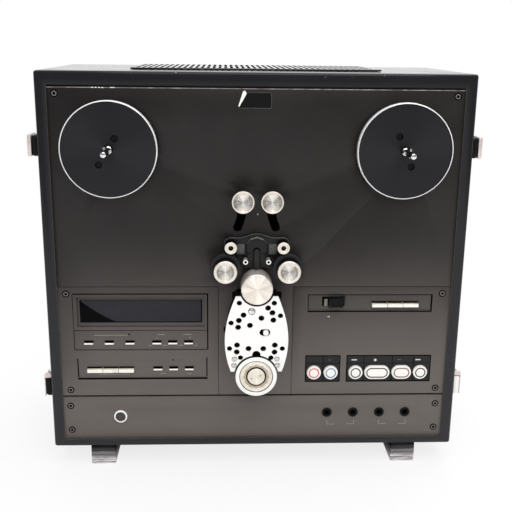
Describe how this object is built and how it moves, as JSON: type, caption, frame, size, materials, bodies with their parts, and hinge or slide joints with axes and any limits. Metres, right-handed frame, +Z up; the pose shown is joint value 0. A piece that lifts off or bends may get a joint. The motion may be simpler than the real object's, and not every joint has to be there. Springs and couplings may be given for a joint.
{
  "type": "reel-to-reel tape deck",
  "caption": "Reel-to-reel tape deck upright in a black portable case, front cover off: bare reel tables, tape head block, rollers, ivory keys and a dark display.",
  "frame": {"origin": "on the floor, under the middle of the width and of the depth over all", "axes": "+X to the right as the deck is faced, +Y into the deck, +Z up"},
  "size_m": [0.514, 0.281, 0.4723],
  "materials": {
    "case_vinyl": "black textured vinyl over plywood, satin",
    "panel_metal": "dark grey-brown painted, fine satin",
    "black_metal": "black painted, satin",
    "turned_metal": "turned bright",
    "cover_metal": "satin silver",
    "chromed_steel": "bright, lightly worn",
    "plain_steel": "plain",
    "rubber": "matt",
    "dark_window": "smoked, glossy",
    "ivory_plastic": "ivory, satin",
    "black_plastic": "black, matt",
    "board_green": "green circuit board"
  },
  "bodies": {
    "deck": {"capstan_motor": "plain_steel", "case_shell": "case_vinyl", "circuit_board": "board_green", "deck_plate": "panel_metal", "display_window": "dark_window", "foot_left": "chromed_steel", "foot_right": "chromed_steel", "head_block": "black_metal", "head_carrier": "black_metal", "head_cover": "cover_metal", "left_panel": "panel_metal", "lower_strip": "panel_metal", "mains_inlet": "black_plastic", "power_transformer": "plain_steel", "reel_motor_left": "plain_steel", "reel_motor_right": "plain_steel", "right_panel": "panel_metal", "vent_grille": "black_metal"},
    "reel_table_left": {"reel_table_left": "black_metal"},
    "reel_table_right": {"reel_table_right": "black_metal"},
    "tension_arm_left": {"tension_arm_left": "plain_steel"},
    "tension_arm_right": {"tension_arm_right": "plain_steel"},
    "tension_roller_left": {"tension_roller_left": "turned_metal"},
    "tension_roller_right": {"tension_roller_right": "turned_metal"},
    "guide_roller_left": {"guide_roller_left": "turned_metal"},
    "guide_roller_right": {"guide_roller_right": "turned_metal"},
    "pinch_arm_left": {"pinch_arm_left": "black_metal"},
    "pinch_arm_right": {"pinch_arm_right": "black_metal"},
    "pinch_roller_left": {"pinch_roller_left": "rubber"},
    "pinch_roller_right": {"pinch_roller_right": "rubber"},
    "capstan": {"capstan": "turned_metal"},
    "return_roller": {"return_roller": "turned_metal"},
    "head_switch": {"head_switch": "turned_metal"},
    "slide_switch": {"slide_switch": "black_plastic"},
    "power_button": {"power_button": "black_plastic"},
    "latch_upper_left": {"latch_upper_left": "chromed_steel"},
    "latch_upper_right": {"latch_upper_right": "chromed_steel"},
    "latch_lower_left": {"latch_lower_left": "chromed_steel"},
    "latch_lower_right": {"latch_lower_right": "chromed_steel"},
    "option_key_1": {"option_key_1": "ivory_plastic"},
    "option_key_2": {"option_key_2": "ivory_plastic"},
    "option_key_3": {"option_key_3": "ivory_plastic"},
    "adjust_key_1": {"adjust_key_1": "ivory_plastic"},
    "adjust_key_2": {"adjust_key_2": "ivory_plastic"},
    "adjust_key_3": {"adjust_key_3": "ivory_plastic"},
    "timer_key_1": {"timer_key_1": "ivory_plastic"},
    "timer_key_2": {"timer_key_2": "ivory_plastic"},
    "timer_key_3": {"timer_key_3": "ivory_plastic"},
    "left_selector_1": {"left_selector_1": "ivory_plastic"},
    "left_selector_2": {"left_selector_2": "ivory_plastic"},
    "left_selector_3": {"left_selector_3": "ivory_plastic"},
    "right_selector_1": {"right_selector_1": "ivory_plastic"},
    "right_selector_2": {"right_selector_2": "ivory_plastic"},
    "right_selector_3": {"right_selector_3": "ivory_plastic"},
    "record_key": {"record_key": "ivory_plastic"},
    "pause_key": {"pause_key": "ivory_plastic"},
    "rewind_key": {"rewind_key": "ivory_plastic"},
    "stop_key": {"stop_key": "ivory_plastic"},
    "play_key": {"play_key": "ivory_plastic"},
    "forward_key": {"forward_key": "ivory_plastic"}
  },
  "joints": [
    {"name": "reel_table_left_spin", "type": "hinge", "parent": "deck", "child": "reel_table_left", "pos_m": [-0.163, -0.1015, 0.3864], "axis": [0, 1, 0], "continuous": true},
    {"name": "tension_arm_left_swing", "type": "hinge", "parent": "deck", "child": "tension_arm_left", "pos_m": [-0.0855, -0.0815, 0.3252], "axis": [0, 1, 0], "range_deg": [0, 28], "stiffness_Nm_per_rad": 0.06, "springref_deg": -45.84},
    {"name": "tension_roller_left_spin", "type": "hinge", "parent": "tension_arm_left", "child": "tension_roller_left", "pos_m": [-0.01616, -0.1145, 0.33127], "axis": [0, 1, 0], "continuous": true},
    {"name": "guide_roller_left_spin", "type": "hinge", "parent": "deck", "child": "guide_roller_left", "pos_m": [-0.0295, -0.1125, 0.2792], "axis": [0, 1, 0], "continuous": true},
    {"name": "pinch_arm_left_swing", "type": "hinge", "parent": "deck", "child": "pinch_arm_left", "pos_m": [-0.04322, -0.0965, 0.24108], "axis": [0, 1, 0], "range_deg": [0, 20], "stiffness_Nm_per_rad": 0.05, "springref_deg": -34.38},
    {"name": "pinch_roller_left_spin", "type": "hinge", "parent": "pinch_arm_left", "child": "pinch_roller_left", "pos_m": [-0.0356, -0.1235, 0.254], "axis": [0, 1, 0], "continuous": true},
    {"name": "latch_upper_left_swing", "type": "hinge", "parent": "deck", "child": "latch_upper_left", "pos_m": [-0.254, -0.0585, 0.3875], "axis": [0, 0, -1], "range_deg": [0, 90]},
    {"name": "latch_lower_left_swing", "type": "hinge", "parent": "deck", "child": "latch_lower_left", "pos_m": [-0.254, -0.0585, 0.097], "axis": [0, 0, -1], "range_deg": [0, 90]},
    {"name": "reel_table_right_spin", "type": "hinge", "parent": "deck", "child": "reel_table_right", "pos_m": [0.163, -0.1015, 0.3864], "axis": [0, 1, 0], "continuous": true},
    {"name": "tension_arm_right_swing", "type": "hinge", "parent": "deck", "child": "tension_arm_right", "pos_m": [0.0855, -0.0815, 0.3252], "axis": [0, -1, 0], "range_deg": [0, 28], "stiffness_Nm_per_rad": 0.06, "springref_deg": -45.84},
    {"name": "tension_roller_right_spin", "type": "hinge", "parent": "tension_arm_right", "child": "tension_roller_right", "pos_m": [0.01616, -0.1145, 0.33127], "axis": [0, 1, 0], "continuous": true},
    {"name": "guide_roller_right_spin", "type": "hinge", "parent": "deck", "child": "guide_roller_right", "pos_m": [0.0295, -0.1125, 0.2792], "axis": [0, 1, 0], "continuous": true},
    {"name": "pinch_arm_right_swing", "type": "hinge", "parent": "deck", "child": "pinch_arm_right", "pos_m": [0.04322, -0.0965, 0.24108], "axis": [0, -1, 0], "range_deg": [0, 20], "stiffness_Nm_per_rad": 0.05, "springref_deg": -34.38},
    {"name": "pinch_roller_right_spin", "type": "hinge", "parent": "pinch_arm_right", "child": "pinch_roller_right", "pos_m": [0.0356, -0.1235, 0.254], "axis": [0, 1, 0], "continuous": true},
    {"name": "latch_upper_right_swing", "type": "hinge", "parent": "deck", "child": "latch_upper_right", "pos_m": [0.254, -0.0585, 0.3875], "axis": [0, 0, 1], "range_deg": [0, 90]},
    {"name": "latch_lower_right_swing", "type": "hinge", "parent": "deck", "child": "latch_lower_right", "pos_m": [0.254, -0.0585, 0.097], "axis": [0, 0, 1], "range_deg": [0, 90]},
    {"name": "capstan_spin", "type": "hinge", "parent": "deck", "child": "capstan", "pos_m": [0, -0.1205, 0.233], "axis": [0, 1, 0], "continuous": true},
    {"name": "return_roller_spin", "type": "hinge", "parent": "deck", "child": "return_roller", "pos_m": [0, -0.1225, 0.1289], "axis": [0, 1, 0], "continuous": true},
    {"name": "head_switch_slide", "type": "slide", "parent": "deck", "child": "head_switch", "axis": [-1, 0, 0], "range_m": [0, 0.0038]},
    {"name": "slide_switch_slide", "type": "slide", "parent": "deck", "child": "slide_switch", "axis": [-1, 0, 0], "range_m": [0, 0.007]},
    {"name": "power_button_press", "type": "slide", "parent": "deck", "child": "power_button", "axis": [0, 1, 0], "range_m": [0, 0.002], "stiffness_N_per_m": 200, "springref_m": -0.001},
    {"name": "option_key_1_press", "type": "slide", "parent": "deck", "child": "option_key_1", "axis": [0, 1, 0], "range_m": [0, 0.0015], "stiffness_N_per_m": 150, "springref_m": -0.001},
    {"name": "option_key_2_press", "type": "slide", "parent": "deck", "child": "option_key_2", "axis": [0, 1, 0], "range_m": [0, 0.0015], "stiffness_N_per_m": 150, "springref_m": -0.001},
    {"name": "option_key_3_press", "type": "slide", "parent": "deck", "child": "option_key_3", "axis": [0, 1, 0], "range_m": [0, 0.0015], "stiffness_N_per_m": 150, "springref_m": -0.001},
    {"name": "adjust_key_1_press", "type": "slide", "parent": "deck", "child": "adjust_key_1", "axis": [0, 1, 0], "range_m": [0, 0.0015], "stiffness_N_per_m": 150, "springref_m": -0.001},
    {"name": "adjust_key_2_press", "type": "slide", "parent": "deck", "child": "adjust_key_2", "axis": [0, 1, 0], "range_m": [0, 0.0015], "stiffness_N_per_m": 150, "springref_m": -0.001},
    {"name": "adjust_key_3_press", "type": "slide", "parent": "deck", "child": "adjust_key_3", "axis": [0, 1, 0], "range_m": [0, 0.0015], "stiffness_N_per_m": 150, "springref_m": -0.001},
    {"name": "timer_key_1_press", "type": "slide", "parent": "deck", "child": "timer_key_1", "axis": [0, 1, 0], "range_m": [0, 0.0015], "stiffness_N_per_m": 150, "springref_m": -0.001},
    {"name": "timer_key_2_press", "type": "slide", "parent": "deck", "child": "timer_key_2", "axis": [0, 1, 0], "range_m": [0, 0.0015], "stiffness_N_per_m": 150, "springref_m": -0.001},
    {"name": "timer_key_3_press", "type": "slide", "parent": "deck", "child": "timer_key_3", "axis": [0, 1, 0], "range_m": [0, 0.0015], "stiffness_N_per_m": 150, "springref_m": -0.001},
    {"name": "left_selector_1_press", "type": "slide", "parent": "deck", "child": "left_selector_1", "axis": [0, 1, 0], "range_m": [0, 0.002], "stiffness_N_per_m": 150, "springref_m": -0.001},
    {"name": "left_selector_2_press", "type": "slide", "parent": "deck", "child": "left_selector_2", "axis": [0, 1, 0], "range_m": [0, 0.002], "stiffness_N_per_m": 150, "springref_m": -0.001},
    {"name": "left_selector_3_press", "type": "slide", "parent": "deck", "child": "left_selector_3", "axis": [0, 1, 0], "range_m": [0, 0.002], "stiffness_N_per_m": 150, "springref_m": -0.001},
    {"name": "right_selector_1_press", "type": "slide", "parent": "deck", "child": "right_selector_1", "axis": [0, 1, 0], "range_m": [0, 0.002], "stiffness_N_per_m": 150, "springref_m": -0.001},
    {"name": "right_selector_2_press", "type": "slide", "parent": "deck", "child": "right_selector_2", "axis": [0, 1, 0], "range_m": [0, 0.002], "stiffness_N_per_m": 150, "springref_m": -0.001},
    {"name": "right_selector_3_press", "type": "slide", "parent": "deck", "child": "right_selector_3", "axis": [0, 1, 0], "range_m": [0, 0.002], "stiffness_N_per_m": 150, "springref_m": -0.001},
    {"name": "record_key_press", "type": "slide", "parent": "deck", "child": "record_key", "axis": [0, 1, 0], "range_m": [0, 0.002], "stiffness_N_per_m": 150, "springref_m": -0.001},
    {"name": "pause_key_press", "type": "slide", "parent": "deck", "child": "pause_key", "axis": [0, 1, 0], "range_m": [0, 0.002], "stiffness_N_per_m": 150, "springref_m": -0.001},
    {"name": "rewind_key_press", "type": "slide", "parent": "deck", "child": "rewind_key", "axis": [0, 1, 0], "range_m": [0, 0.002], "stiffness_N_per_m": 150, "springref_m": -0.001},
    {"name": "stop_key_press", "type": "slide", "parent": "deck", "child": "stop_key", "axis": [0, 1, 0], "range_m": [0, 0.002], "stiffness_N_per_m": 150, "springref_m": -0.001},
    {"name": "play_key_press", "type": "slide", "parent": "deck", "child": "play_key", "axis": [0, 1, 0], "range_m": [0, 0.002], "stiffness_N_per_m": 150, "springref_m": -0.001},
    {"name": "forward_key_press", "type": "slide", "parent": "deck", "child": "forward_key", "axis": [0, 1, 0], "range_m": [0, 0.002], "stiffness_N_per_m": 150, "springref_m": -0.001}
  ]
}
